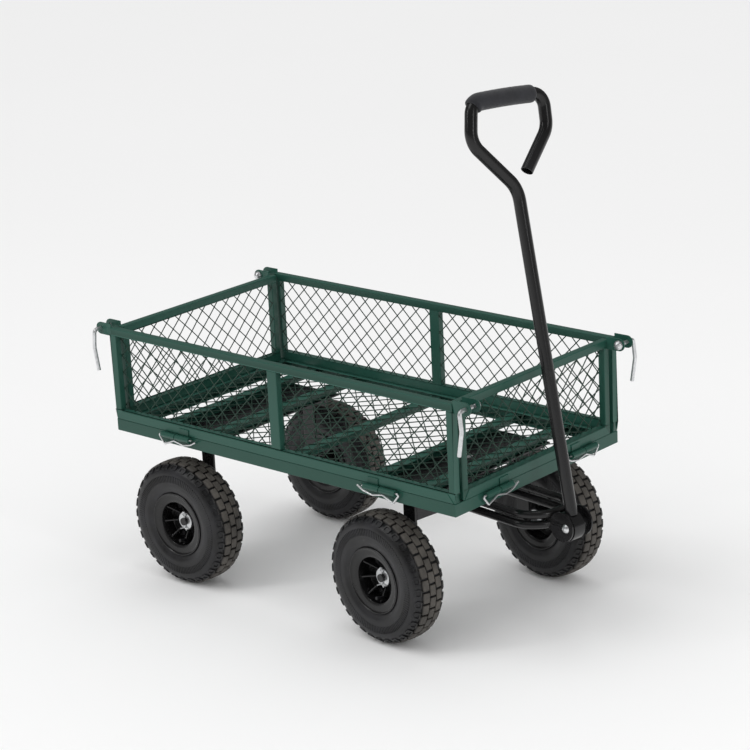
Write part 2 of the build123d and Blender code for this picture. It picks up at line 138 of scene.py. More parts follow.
def powderCoat(name, look):
    material, tree, point = newFinish(name)
    patches = point.noise(look["patchScale"], 4.0).stretch(0.3, 0.7)
    peel = point.noise(look["peelScale"], 2.0)
    marks = point.noise(look["markScale"], 8.0, 0.7).stretch(0.6, 0.75)
    # painted highlight: sharp edges found by Pointiness are lightened towards the edge colour, as
    # though they catch the light
    edge = tree.node("NewGeometry", output="Pointiness").stretch(0.51, 0.6)
    colour = patches.blend(look["deep"], look["fresh"])
    colour = (edge * look["edgeShare"]).blend(colour, look["edge"])
    colour = (marks * look["markShare"]).blend(colour, look["mark"])
    closeFinish(tree, {
        "Base Color": colour,
        "Roughness": (look["roughness"] + patches * look["patchRoughness"]
                      + marks * look["markRoughness"]),
        "Specular IOR Level": look["specular"],
        "Normal": peel.bump(look["peelStrength"], look["peelDepth"]),
    })
    return material


def zincPlate(name, look):
    material, tree, point = newFinish(name)
    cloud = point.noise(look["cloudScale"], 4.0).stretch(0.3, 0.7)
    grain = point.noise(look["grainScale"], 3.0)
    stain = point.noise(look["stainScale"], 6.0, 0.7).stretch(0.58, 0.75)
    colour = cloud.blend(look["dull"], look["bright"])
    colour = (stain * look["stainShare"]).blend(colour, look["stain"])
    closeFinish(tree, {
        "Base Color": colour,
        "Metallic": look["metallic"],
        "Roughness": (look["roughness"] + cloud * look["cloudRoughness"]
                      + stain * look["stainRoughness"]),
        "Normal": grain.bump(look["grainStrength"], look["grainDepth"]),
    })
    return material


def tyreRubber(name, look):
    material, tree, point = newFinish(name)
    tread = tree.node("Attribute", {"attribute_name": "tread"}, {}, "Fac")
    grain = point.noise(look["grainScale"], 6.0, 0.65)
    clouds = point.noise(look["cloudScale"], 5.0, 0.6).stretch(0.35, 0.7)
    worn = tread * (look["wornLeast"] + (1 - look["wornLeast"]) * clouds)
    scuffs = point.noise(look["scuffScale"], 8.0, 0.75).stretch(0.58, 0.74)
    colour = clouds.blend(look["deep"], look["bloom"])
    colour = (scuffs * look["scuffShare"]).blend(colour, look["dust"])
    colour = (worn * look["wornShare"]).blend(colour, look["dust"])
    closeFinish(tree, {
        "Base Color": colour,
        "Roughness": (look["roughness"] + worn * look["wornRoughness"]
                      + clouds * look["cloudRoughness"]),
        "Specular IOR Level": look["specular"],
        "Normal": grain.bump(look["grainStrength"], look["grainDepth"]),
    })
    return material


def gripFoam(name, look):
    material, tree, point = newFinish(name)
    cellInputs = {"Vector": point, "Scale": look["cellScale"]}
    cells = tree.node("TexVoronoi", {"feature": "SMOOTH_F1"}, cellInputs, "Distance")
    wear = point.noise(look["wearScale"], 5.0, 0.6).stretch(0.4, 0.75)
    paleness = wear * look["wearShare"] + cells * look["cellShare"]
    closeFinish(tree, {
        "Base Color": paleness.blend(look["deep"], look["worn"]),
        "Roughness": look["roughness"] + wear * look["wearRoughness"],
        "Specular IOR Level": look["specular"],
        "Sheen Weight": look["sheen"],
        "Sheen Roughness": look["sheenRoughness"],
        "Normal": cells.bump(look["cellStrength"], look["cellDepth"]),
    })
    return material


def floorPaint(name, look):
    material, tree, point = newFinish(name)
    cloud = point.noise(look["cloudScale"], 2.0)
    closeFinish(tree, {
        "Base Color": cloud.blend(look["low"], look["high"]),
        "Roughness": look["roughness"] + cloud * look["cloudRoughness"],
        "Specular IOR Level": look["specular"],
    })
    return material


greenLook = {
    "deep": (0.007, 0.046, 0.031, 1), "fresh": (0.0105, 0.058, 0.04, 1),
    # the edge colour and its share are a painted highlight along sharp edges
    "edge": (0.05, 0.16, 0.125, 1), "mark": (0.03, 0.085, 0.065, 1),
    "patchScale": 5.0, "peelScale": 700.0, "markScale": 40.0, "edgeShare": 0.55, "markShare": 0.3,
    "roughness": 0.28, "patchRoughness": 0.08, "markRoughness": 0.18, "specular": 0.32,
    "peelStrength": 0.12, "peelDepth": 0.0004,
}
meshLook = greenLook | {
    # the mesh wire's smaller edge share is a weaker painted highlight along sharp edges
    "deep": (0.009, 0.026, 0.016, 1), "fresh": (0.015, 0.038, 0.025, 1), "edgeShare": 0.1,
    "roughness": 0.42, "patchScale": 30.0,
}
blackLook = greenLook | {
    "deep": (0.0032, 0.0031, 0.0033, 1), "fresh": (0.006, 0.0058, 0.006, 1),
    # the edge colour and its share are a painted highlight along sharp edges
    "edge": (0.045, 0.045, 0.048, 1), "mark": (0.02, 0.0195, 0.019, 1),
    "patchScale": 9.0, "peelScale": 900.0, "markScale": 22.0, "edgeShare": 0.3, "markShare": 0.15,
    "roughness": 0.2, "specular": 0.42, "peelStrength": 0.08,
}
zincLook = {
    "dull": (0.58, 0.59, 0.6, 1), "bright": (0.8, 0.81, 0.82, 1), "stain": (0.3, 0.28, 0.24, 1),
    "cloudScale": 90.0, "grainScale": 900.0, "stainScale": 150.0, "stainShare": 0.45,
    "metallic": 0.9, "roughness": 0.26, "cloudRoughness": 0.1, "stainRoughness": 0.2,
    "grainStrength": 0.15, "grainDepth": 0.0002,
}
rubberLook = {
    "deep": (0.005, 0.0048, 0.005, 1), "bloom": (0.017, 0.017, 0.02, 1),
    "dust": (0.125, 0.112, 0.096, 1), "grainScale": 900.0, "cloudScale": 26.0, "scuffScale": 70.0,
    "scuffShare": 0.16, "wornLeast": 0.45, "wornShare": 0.8, "specular": 0.42,
    "roughness": 0.36, "wornRoughness": 0.3, "cloudRoughness": 0.08,
    "grainStrength": 0.3, "grainDepth": 0.0005,
}
foamLook = {
    "deep": (0.012, 0.0125, 0.0155, 1), "worn": (0.028, 0.029, 0.036, 1),
    "cellScale": 900.0, "cellShare": 0.3, "cellStrength": 0.5, "cellDepth": 0.0006,
    "wearScale": 45.0, "wearShare": 0.6, "roughness": 0.72, "wearRoughness": 0.15,
    "specular": 0.25, "sheen": 0.25, "sheenRoughness": 0.5,
}
floorLook = {
    "low": (0.93, 0.93, 0.93, 1), "high": (0.95, 0.95, 0.95, 1), "cloudScale": 0.6,
    "roughness": 0.9, "cloudRoughness": 0.05, "specular": 0.1,
}

finishes = {
    "green_frame": powderCoat("greenPowderCoat", greenLook),
    "green_mesh": powderCoat("greenMeshCoat", meshLook),
    "black_steel": powderCoat("blackPowderCoat", blackLook),
    "zinc_hardware": zincPlate("zincPlate", zincLook),
    "tyre_rubber": tyreRubber("tyreRubber", rubberLook),
    "grip_foam": gripFoam("gripFoam", foamLook),
}
for nodeName, node in nodes.items():
    node.data.materials.clear()
    node.data.materials.append(finishes[slots[nodeName]])
print("finishes made:", len(finishes))


def unique(items):
    # each item once, in the order that they come
    return list(dict.fromkeys(items))


def onlyKind(items, kind):
    return [item for item in items if isinstance(item, kind)]


def facesSince(bm, before):
    return [face for face in bm.faces if face not in before]


def shadeRound(bm, sharpAbove=40.0):
    limit = math.radians(sharpAbove)
    for face in bm.faces:
        face.smooth = True
    for edge in bm.edges:
        edge.smooth = len(edge.link_faces) == 2 and edge.calc_face_angle() < limit


def finishPiece(bm, name, nodeName, evenNormals=False):
    # the piece takes its body and finish from the node that it stands for or sits on
    shadeRound(bm)
    mesh = bpy.data.meshes.new(name)
    bm.to_mesh(mesh)
    bm.free()
    slot = slots[nodeName]
    mesh.materials.append(finishes[slot])
    piece = bpy.data.objects.new(name, mesh)
    bpy.context.scene.collection.objects.link(piece)
    if evenNormals:
        weighted = piece.modifiers.new("evenNormals", "WEIGHTED_NORMAL")
        weighted.keep_sharp = True
    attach(piece, nodes[nodeName]["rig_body"])
    return piece


def bevelEdges(bm, edges, width, segments=2):
    return bmesh.ops.bevel(bm, geom=edges, offset=width, offset_type="OFFSET", segments=segments,
                           profile=0.5, affect="EDGES", clamp_overlap=True, material=-1)


def sharpEdges(bm, above=35.0):
    return [edge for edge in bm.edges
            if len(edge.link_faces) == 2 and edge.calc_face_angle() > math.radians(above)]


nodeClean = {"mergeWithin": 0.000002, "flatWithin": 0.5}


def nodeCopy(nodeName):
    bm = bmesh.new()
    bm.from_mesh(nodes[nodeName].data)
    bmesh.ops.remove_doubles(bm, verts=bm.verts, dist=nodeClean["mergeWithin"])
    bmesh.ops.dissolve_limit(bm, angle_limit=math.radians(nodeClean["flatWithin"]), verts=bm.verts,
                             edges=bm.edges, use_dissolve_boundaries=False, delimit=set())
    return bm


def camelName(nodeName):
    first, *rest = nodeName.split("_")
    return first + "".join(word.capitalize() for word in rest)


def facing(direction, hint=up):
    # a turn that takes local Z to the direction
    side = hint.cross(direction)
    if side.length < 0.001:
        side = Vector((1, 0, 0)).cross(direction)
    side.normalize()
    return Matrix((side, direction.cross(side), direction)).transposed().to_4x4()


def ringAt(bm, centre, direction, radius, sides):
    place = Matrix.Translation(centre) @ facing(direction)
    made = bmesh.ops.create_circle(bm, segments=sides, radius=radius, matrix=place)["verts"]
    return unique(edge for vert in made for edge in vert.link_edges)


def pull(bm, edges, move=(0, 0, 0), scale=1.0, centre=None):
    # extrudes an open ring, moves the new one, and returns its edges
    made = bmesh.ops.extrude_edge_only(bm, edges=edges)["geom"]
    newVerts = onlyKind(made, bmesh.types.BMVert)
    if scale != 1.0:
        about = Matrix.Translation(-centre)
        bmesh.ops.scale(bm, vec=(scale,) * 3, space=about, verts=newVerts)
    bmesh.ops.translate(bm, vec=move, verts=newVerts)
    return unique(edge for vert in newVerts for edge in vert.link_edges
                  if all(end in newVerts for end in edge.verts))


tubeEnd = {"chamfer": 0.04, "narrow": 0.96, "lip": 0.0001, "shortest": 0.00005}


def bentTube(bm, route, bends, radius, sides=24, openDepth=(0, 0), wall=0.0018, stepAngle=7.0):
    # a round bar along a route with arcs at its corners; an end with an open depth shows its bore
    points = [Vector(point) for point in route]
    here = points[0]
    startWay = (points[0] - points[1]).normalized()
    first = ringAt(bm, here, -startWay, radius, sides)
    edges = first
    for corner, after, bend in zip(points[1:-1], points[2:], bends):
        wayIn = (corner - here).normalized()
        wayOut = (after - corner).normalized()
        turn = wayIn.angle(wayOut)
        cut = bend * math.tan(turn / 2)
        axis = wayIn.cross(wayOut).normalized()
        arcStart = corner - wayIn * cut
        if (arcStart - here).length > tubeEnd["shortest"]:
            edges = pull(bm, edges, arcStart - here)
        steps = max(3, round(math.degrees(turn) / stepAngle))
        centre = arcStart + axis.cross(wayIn) * bend
        spun = bmesh.ops.spin(bm, geom=edges, cent=centre, axis=axis, angle=turn, steps=steps,
                              use_merge=False)["geom_last"]
        edges = onlyKind(spun, bmesh.types.BMEdge)
        here = corner + wayOut * cut
    last = pull(bm, edges, points[-1] - here)
    endWay = (points[-1] - here).normalized()
    for ring, centre, outward, depth in ((first, points[0], startWay, openDepth[0]),
                                         (last, points[-1], endWay, openDepth[1])):
        rim = pull(bm, ring, outward * radius * tubeEnd["chamfer"], tubeEnd["narrow"], centre)
        if depth:
            bore = (radius - wall) / radius / tubeEnd["narrow"]
            lip = pull(bm, rim, -outward * tubeEnd["lip"], bore, centre)
            rim = pull(bm, lip, -outward * depth)
        bmesh.ops.contextual_create(bm, geom=rim)


def tidyNormals(bm, distance=0.00001):
    bmesh.ops.remove_doubles(bm, verts=bm.verts, dist=distance)
    bmesh.ops.recalc_face_normals(bm, faces=bm.faces)


# plain steel parts keep their own shape, with broken edges and smooth rounds
edgeWidths = {
    "deck_rails": 0.0016, "deck_cross_members": 0.0007, "deck_hinge_barrels": 0.0005,
    "right_side_frame": 0.0018, "left_side_frame": 0.0018,
    "front_panel_frame": 0.0018, "rear_panel_frame": 0.0018,
    "rear_axle_bracket": 0.001, "front_axle_bracket": 0.001, "front_pivot_plate": 0.001,
    "drawbar_tie_plate": 0.001, "yoke_cheeks": 0.0009, "handle_knuckle": 0.0016,
    "front_axle_stubs": 0.001, "rear_axle_stubs": 0.001,
}
plainEdge = 0.0005
wideEdge = 0.001  # wider ones get a third segment
# how far each wheel has rolled, in degrees
wheelTurns = {"front_left": 17.0, "front_right": 8.0, "rear_left": 33.0, "rear_right": 6.0}
madeAnew = ["deck_mesh_floor", "right_side_mesh", "left_side_mesh", "front_panel_mesh",
            "rear_panel_mesh", "drawbar_lower_loop", "drawbar_upper_loop", "handle_tube",
            "handle_grip", "front_cotter_pins", "rear_cotter_pins"]
madeAnew += [f"{wheel}_{part}" for wheel in wheelTurns for part in ("tyre", "rim")]
for nodeName in sorted(set(nodes) - set(madeAnew)):
    bm = nodeCopy(nodeName)
    if nodeName != "hinge_lock_wires":
        width = edgeWidths.get(nodeName, plainEdge)
        bevelEdges(bm, sharpEdges(bm), width, 3 if width > wideEdge else 2)
    piece = finishPiece(bm, camelName(nodeName), nodeName, evenNormals=True)
    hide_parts(nodeName)
print("steel parts finished")


meshWire = {"radius": 0.00115, "weave": 0.0007, "sides": 6, "tuck": 0.002, "endClear": 0.002,
            "panelPitch": 0.035, "floorPitch": 0.044, "middlePost": 0.025, "mergeWithin": 0.000001}


def wireGrid(bm, centre, across, normal, width, height, pitch):
    # two sets of wires at 45 degrees that pass over and under each other
    upward = normal.cross(across).normalized()
    half = (width / 2 + meshWire["tuck"], height / 2 + meshWire["tuck"])
    count = int((width + height) / 2 / pitch) + 1
    for lean in (1, -1):
        way = (across + upward * lean).normalized()
        for index in range(-count, count + 1):
            foot = index * pitch
            low = max(-half[0], foot - half[1])
            high = min(half[0], foot + half[1])
            if high - low < pitch / 8:
                continue
            clear = meshWire["endClear"]
            steps = range(int(low / pitch * 2) - 1, int(high / pitch * 2) + 2)
            crossings = [step * pitch / 2 for step in steps if (step + index) % 2 == 0]
            inside = [mark for mark in crossings if low + clear < mark < high - clear]
            places = []
            for mark in (low, *inside, high):
                over = lean * (1 if (round(mark / pitch * 2) + index) % 4 == 0 else -1)
                if mark in (low, high):
                    over = 0
                rise = (mark - foot) * lean
                places.append(centre + across * mark + upward * rise
                              + normal * over * meshWire["weave"])
            ring = ringAt(bm, places[0], way, meshWire["radius"], meshWire["sides"])
            for start, end in zip(places, places[1:]):
                ring = pull(bm, ring, end - start)


def panelMesh(meshNode, across):
    low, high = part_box(meshNode)
    centre = (low + high) / 2
    across = Vector(across)
    if "side" in meshNode:
        post = meshWire["middlePost"]
        bay = (high.x - low.x - post) / 2
        spans = [(centre + across * sign * (bay + post) / 2, bay) for sign in (1, -1)]
    else:
        spans = [(centre, abs((high - low).dot(across)))]
    bm = bmesh.new()
    for middle, width in spans:
        wireGrid(bm, middle, across, across.cross(up), width, high.z - low.z,
                 meshWire["panelPitch"])
    tidyNormals(bm, meshWire["mergeWithin"])
    piece = finishPiece(bm, camelName(meshNode), meshNode)
    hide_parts(meshNode)


for side in ("right", "left"):
    panelMesh(f"{side}_side_mesh", (1, 0, 0))
for end in ("front", "rear"):
    panelMesh(f"{end}_panel_mesh", (0, 1, 0))

low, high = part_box("deck_mesh_floor")
bm = bmesh.new()
wireGrid(bm, (low + high) / 2, Vector((1, 0, 0)), up, high.x - low.x, high.y - low.y,
         meshWire["floorPitch"])
tidyNormals(bm, meshWire["mergeWithin"])
piece = finishPiece(bm, "deckMeshFloor", "deck_mesh_floor")
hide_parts("deck_mesh_floor")
print("meshes woven")


# each panel's bottom rail is an angle whose outer flange laps the posts with slanted ends
flap = {"thick": 0.0012, "height": 0.0175, "slant": 0.014, "endGap": 0.003, "lift": 0.0006,
        "sink": 0.0005, "edge": 0.0005}


def bottomFlange(frameNode, outward):
    low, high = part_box(frameNode)
    outward = Vector(outward)
    along = up.cross(outward)
    face = (low + high) / 2
    for axis in range(2):
        if outward[axis]:
            face[axis] = high[axis] if outward[axis] > 0 else low[axis]
    half = abs((high - low).dot(along)) / 2 - flap["endGap"]
    face.z = low.z + flap["lift"]
    outline = [(-half, 0), (half, 0), (half - flap["slant"], flap["height"]),
               (flap["slant"] - half, flap["height"])]
    bm = bmesh.new()
    root = face - outward * flap["sink"]
    verts = [bm.verts.new(root + along * u + up * v) for u, v in outline]
    sheet = bmesh.ops.contextual_create(bm, geom=verts)["faces"]
    grown = bmesh.ops.extrude_face_region(bm, geom=sheet)["geom"]
    bmesh.ops.translate(bm, vec=outward * (flap["thick"] + flap["sink"]),
                        verts=onlyKind(grown, bmesh.types.BMVert))
    bmesh.ops.recalc_face_normals(bm, faces=bm.faces)
    bevelEdges(bm, sharpEdges(bm), flap["edge"], 2)
    name = camelName(frameNode.replace("frame", "bottom_flange"))
    finishPiece(bm, name, frameNode, evenNormals=True)


for frameNode, outward in (("right_side_frame", (0, -1, 0)), ("left_side_frame", (0, 1, 0)),
                           ("front_panel_frame", (1, 0, 0)), ("rear_panel_frame", (-1, 0, 0))):
    bottomFlange(frameNode, outward)
print("bottom flanges added")


# wheels are built about the origin with +Y outboard, then placed on their joints
tyreSize = {
    "treadRadius": 0.1296, "grooveRadius": 0.1248, "steps": 120, "pitches": 32,
    "rows": ((-0.0158, 0.0138), (0.0, 0.0138), (0.0158, 0.0138)),
    "blockShare": 0.82, "blockTaper": 0.985, "blockRoot": 0.0015, "edge": 0.0009,
    "sharpAbove": 50.0,
    "crown": 0.0018, "crownOut": 0.025, "shoulderDrop": 0.0032, "shoulderOut": 0.033,
    "wearFrom": 0.0005, "wearOver": 0.0025,
}
# half section of the casing from the bead to the middle of the tread, as (out, radius)
tyreSection = (
    (0.026, 0.0495), (0.0303, 0.0575), (0.0328, 0.0648), (0.0342, 0.0658), (0.0352, 0.069),
    (0.0366, 0.0712), (0.0371, 0.0752), (0.0383, 0.0768), (0.0388, 0.084), (0.0393, 0.092),
    (0.0392, 0.1), (0.0384, 0.1075), (0.0366, 0.1135), (0.0338, 0.1178), (0.03, 0.1204),
    (0.0225, 0.1228), (0.0115, 0.1243), (0.0, 0.1248),
)


def spunSection(bm, points, steps, closed=False):
    verts = [bm.verts.new((0, out, radius)) for out, radius in points]
    following = [*verts[1:], verts[0]] if closed else verts[1:]
    edges = [bm.edges.new(pair) for pair in zip(verts, following)]
    bmesh.ops.spin(bm, geom=verts + edges, cent=(0, 0, 0), axis=(0, 1, 0), angle=math.tau,
                   steps=steps, use_merge=True)


def turnAbout(bm, verts, angle):
    bmesh.ops.rotate(bm, cent=(0, 0, 0), matrix=Matrix.Rotation(angle, 3, "Y"), verts=verts)


def repeatAround(bm, faces, count, turnFirst=0.0):
    verts = unique(vert for face in faces for vert in face.verts)
    geom = [*verts, *unique(edge for face in faces for edge in face.edges), *faces]
    turnAbout(bm, verts, turnFirst)
    for step in range(1, count):
        copied = bmesh.ops.duplicate(bm, geom=geom)["geom"]
        turnAbout(bm, onlyKind(copied, bmesh.types.BMVert), step * math.tau / count)


def treadTop(out):
    # the tread is crowned: this is its radius at a distance from the middle
    crown = tyreSize["crown"] * (out / tyreSize["crownOut"]) ** 2
    drop = tyreSize["shoulderDrop"] * (abs(out) / tyreSize["shoulderOut"]) ** 8
    return tyreSize["treadRadius"] - crown - drop


def treadBlock(bm, middle, width, turnFirst):
    half = width / 2
    lift = tyreSize["treadRadius"] - tyreSize["grooveRadius"]
    outs = (middle - half, middle, middle + half)
    tops = [(out * tyreSize["blockTaper"], treadTop(out)) for out in outs]
    roots = [(out, treadTop(out) - lift - tyreSize["blockRoot"]) for out in outs]
    angle = math.tau / tyreSize["pitches"] * tyreSize["blockShare"]
    before = set(bm.faces)
    verts = [bm.verts.new((0, out, radius)) for out, radius in [*roots, *reversed(tops)]]
    section = bmesh.ops.contextual_create(bm, geom=verts)["faces"]
    turnAbout(bm, verts, -angle / 2)
    geom = [*section, *section[0].edges, *section[0].verts]
    bmesh.ops.spin(bm, geom=geom, cent=(0, 0, 0), axis=(0, 1, 0), angle=angle, steps=3,
                   use_merge=False)
    made = facesSince(bm, before)
    bmesh.ops.recalc_face_normals(bm, faces=made)
    sharp = unique(edge for face in made for edge in face.edges
                   if edge.calc_face_angle(0) > math.radians(tyreSize["sharpAbove"]))
    bevelEdges(bm, sharp, tyreSize["edge"], 1)
    repeatAround(bm, facesSince(bm, before), tyreSize["pitches"], turnFirst)


shoulderLug = {"out": 0.0306, "radius": 0.1207, "tilt": 52.0, "round": 0.0155, "deep": 0.0135,
               "corner": 0.0042, "rim": 0.0026, "slope": 0.0007, "sink": 0.0019, "root": 0.005,
               "proud": 0.0016}


def shoulderPads(bm, side):
    # rounded squares with a sunken middle round the shoulder, one beside each tread block
    before = set(bm.faces)
    turn = Matrix.Rotation(side * math.radians(shoulderLug["tilt"] - 90), 4, "X")
    size = Matrix.Diagonal((shoulderLug["round"], shoulderLug["deep"], 1, 1))
    grid = bmesh.ops.create_grid(bm, x_segments=1, y_segments=1, size=0.5, matrix=size)
    bmesh.ops.bevel(bm, geom=grid["verts"], offset=shoulderLug["corner"], offset_type="OFFSET",
                    segments=3, profile=0.5, affect="VERTICES", clamp_overlap=True, material=-1)
    grown = bmesh.ops.extrude_face_region(bm, geom=facesSince(bm, before))["geom"]
    bmesh.ops.translate(bm, vec=(0, 0, shoulderLug["root"]),
                        verts=onlyKind(grown, bmesh.types.BMVert))
    face = onlyKind(grown, bmesh.types.BMFace)
    bmesh.ops.inset_region(bm, faces=face, thickness=shoulderLug["rim"], use_even_offset=True)
    bmesh.ops.inset_region(bm, faces=face, thickness=shoulderLug["slope"],
                           depth=-shoulderLug["sink"], use_even_offset=True)
    made = facesSince(bm, before)
    bmesh.ops.recalc_face_normals(bm, faces=made)
    verts = unique(vert for padFace in made for vert in padFace.verts)
    place = Matrix.Translation((0, side * shoulderLug["out"], shoulderLug["radius"])) @ turn
    place = place @ Matrix.Translation((0, 0, shoulderLug["proud"] - shoulderLug["root"]))
    bmesh.ops.transform(bm, matrix=place, verts=verts)
    repeatAround(bm, made, tyreSize["pitches"], math.tau / tyreSize["pitches"] / 2)


sidewallRib = {"size": (0.0014, 0.0016, 0.014), "out": 0.0392, "radius": 0.0975, "count": 128}


def sidewallRibs(bm, side):
    before = set(bm.faces)
    size = Matrix.Diagonal((*sidewallRib["size"], 1))
    place = Matrix.Translation((0, side * sidewallRib["out"], sidewallRib["radius"]))
    bmesh.ops.create_cube(bm, size=1.0, matrix=place @ size)
    repeatAround(bm, facesSince(bm, before), sidewallRib["count"])


def keptShape(bm, name):
    mesh = bpy.data.meshes.new(name)
    bm.to_mesh(mesh)
    bm.free()
    return mesh


def buildTyre():
    bm = bmesh.new()
    otherHalf = [(-out, radius) for out, radius in reversed(tyreSection[:-1])]
    spunSection(bm, [*tyreSection, *otherHalf], tyreSize["steps"])
    tidyNormals(bm)
    halfPitch = math.tau / tyreSize["pitches"] / 2
    for index, (middle, width) in enumerate(tyreSize["rows"]):
        treadBlock(bm, middle, width, halfPitch * (index % 2))
    for side in (1, -1):
        shoulderPads(bm, side)
        sidewallRibs(bm, side)
    layer = bm.verts.layers.float.new("tread")
    for vert in bm.verts:
        radius = math.hypot(vert.co.x, vert.co.z)
        rise = radius - tyreSize["grooveRadius"] - tyreSize["wearFrom"]
        vert[layer] = min(1.0, max(0.0, rise / tyreSize["wearOver"]))
    return keptShape(bm, "tyreShape")


rimSize = {"steps": 96, "hubSteps": 48, "ribs": 8, "ribThick": 0.0032, "ribEdge": 0.0005,
           "sharpAbove": 0.6}
rimDish = (
    (0.0006, 0.0195), (0.0026, 0.0205), (0.0026, 0.043), (0.0038, 0.0452), (0.006, 0.0458),
    (0.0298, 0.0458), (0.0318, 0.0463), (0.0331, 0.0482), (0.034, 0.0535), (0.035, 0.0595),
    (0.0359, 0.0634), (0.0369, 0.0645), (0.0369, 0.0658), (0.0361, 0.0666), (0.0348, 0.0664),
    (0.0332, 0.0648), (0.0245, 0.0482), (0.0002, 0.0482),
)
hubShape = (
    (-0.036, 0.0125), (-0.036, 0.0192), (-0.0352, 0.02), (0.0082, 0.02), (0.009, 0.0192),
    (0.009, 0.0176), (0.0082, 0.0172), (0.0082, 0.0125), (0.007, 0.0122), (-0.034, 0.0122),
)
ribShape = (
    (0.0022, 0.0192), (0.0066, 0.0192), (0.0084, 0.021), (0.0238, 0.0425), (0.0262, 0.0463),
    (0.0022, 0.0463),
)
rimBolt = {"count": 3, "circle": 0.0335, "out": 0.0039, "radius": 0.0055, "topRadius": 0.0052,
           "height": 0.004, "turn": 30.0}


def buildRim():
    bm = bmesh.new()
    spunSection(bm, rimDish, rimSize["steps"], closed=True)
    spunSection(bm, [(-out, radius) for out, radius in rimDish], rimSize["steps"], closed=True)
    spunSection(bm, hubShape, rimSize["hubSteps"], closed=True)
    tidyNormals(bm)
    before = set(bm.faces)
    half = rimSize["ribThick"] / 2
    verts = [bm.verts.new((-half, out, radius)) for out, radius in ribShape]
    blade = bmesh.ops.contextual_create(bm, geom=verts)["faces"]
    grown = bmesh.ops.extrude_face_region(bm, geom=blade)["geom"]
    bmesh.ops.translate(bm, vec=(2 * half, 0, 0), verts=onlyKind(grown, bmesh.types.BMVert))
    made = facesSince(bm, before)
    bmesh.ops.recalc_face_normals(bm, faces=made)
    sharp = unique(edge for face in made for edge in face.edges
                   if edge.calc_face_angle(0) > rimSize["sharpAbove"])
    bevelEdges(bm, sharp, rimSize["ribEdge"], 2)
    repeatAround(bm, facesSince(bm, before), rimSize["ribs"])
    before = set(bm.faces)
    for side in (1, -1):
        place = Matrix.Translation((0, side * rimBolt["out"], rimBolt["circle"]))
        bmesh.ops.create_cone(bm, cap_ends=True, segments=6, radius1=rimBolt["radius"],
                              radius2=rimBolt["topRadius"], depth=rimBolt["height"],
                              matrix=place @ Matrix.Rotation(math.radians(90), 4, "X"))
    repeatAround(bm, facesSince(bm, before), rimBolt["count"], math.radians(rimBolt["turn"]))
    return keptShape(bm, "rimShape")


valve = {"route": ((0, 0.012, -0.0455), (0, 0.02, -0.038), (0, 0.034, -0.035)),
         "bends": (0.004,), "radius": 0.0032, "sides": 12}

tyreShape = buildTyre()
rimShape = buildRim()
for wheel, turn in wheelTurns.items():
    joint = joints[f"{wheel}_wheel"]
    outboard = Vector(joint["axis"]).normalized() * (1 if "left" in wheel else -1)
    turned = Matrix((outboard.cross(up), outboard, up)).transposed().to_4x4()
    rolled = Matrix.Rotation(math.radians(turn), 4, "Y")
    place = Matrix.Translation(joint["pos_m"]) @ turned @ rolled
    for part, shape in (("tyre", tyreShape), ("rim", rimShape)):
        nodeName = f"{wheel}_{part}"
        bm = bmesh.new()
        bm.from_mesh(shape)
        bmesh.ops.transform(bm, matrix=place, verts=bm.verts)
        piece = finishPiece(bm, camelName(nodeName), nodeName)
        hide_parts(nodeName)
    bm = bmesh.new()
    bentTube(bm, valve["route"], valve["bends"], valve["radius"], valve["sides"])
    bmesh.ops.transform(bm, matrix=place, verts=bm.verts)
    bmesh.ops.recalc_face_normals(bm, faces=bm.faces)
    finishPiece(bm, camelName(f"{wheel}_valve"), f"{wheel}_tyre")
print("wheels built")


# split pins through the axle's ends, with an eye above and two legs spread below
splitPin = {"radius": 0.0014, "eye": 0.0042, "out": 0.234, "top": 0.012, "foot": -0.0135,
            "legShare": 0.8, "legTop": 0.013, "legApart": 0.0006, "bend": 0.002, "toeDrop": 0.004,
            "toeOut": 0.002, "toes": ((1, 0.011), (-1, 0.007))}
for end in ("front", "rear"):
    along = Vector(joints[f"{end}_left_wheel"]["axis"]).normalized()
    low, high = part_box(f"{end}_axle_stubs")
    bm = bmesh.new()
    for side in (1, -1):
        centre = (low + high) / 2 + along * side * splitPin["out"]
        cross = along.cross(up) * side
        eyeCentre = centre + up * (splitPin["top"] + splitPin["eye"])
        ring = ringAt(bm, eyeCentre + up * splitPin["eye"], cross, splitPin["radius"], 12)
        ringVerts = unique(vert for edge in ring for vert in edge.verts)
        bmesh.ops.spin(bm, geom=ringVerts + ring, cent=eyeCentre, axis=along, angle=math.tau,
                       steps=24, use_merge=True)
        for lean, reach in splitPin["toes"]:
            leg = centre + cross * lean * splitPin["legApart"]
            toe = centre + cross * lean * reach + along * side * splitPin["toeOut"]
            route = (leg + up * splitPin["legTop"], leg + up * splitPin["foot"],
                     toe + up * (splitPin["foot"] - splitPin["toeDrop"]))
            bentTube(bm, route, (splitPin["bend"],), splitPin["radius"] * splitPin["legShare"], 10)
    tidyNormals(bm)
    piece = finishPiece(bm, camelName(f"{end}_cotter_pins"), f"{end}_cotter_pins")
    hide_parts(f"{end}_cotter_pins")
print("split pins fitted")


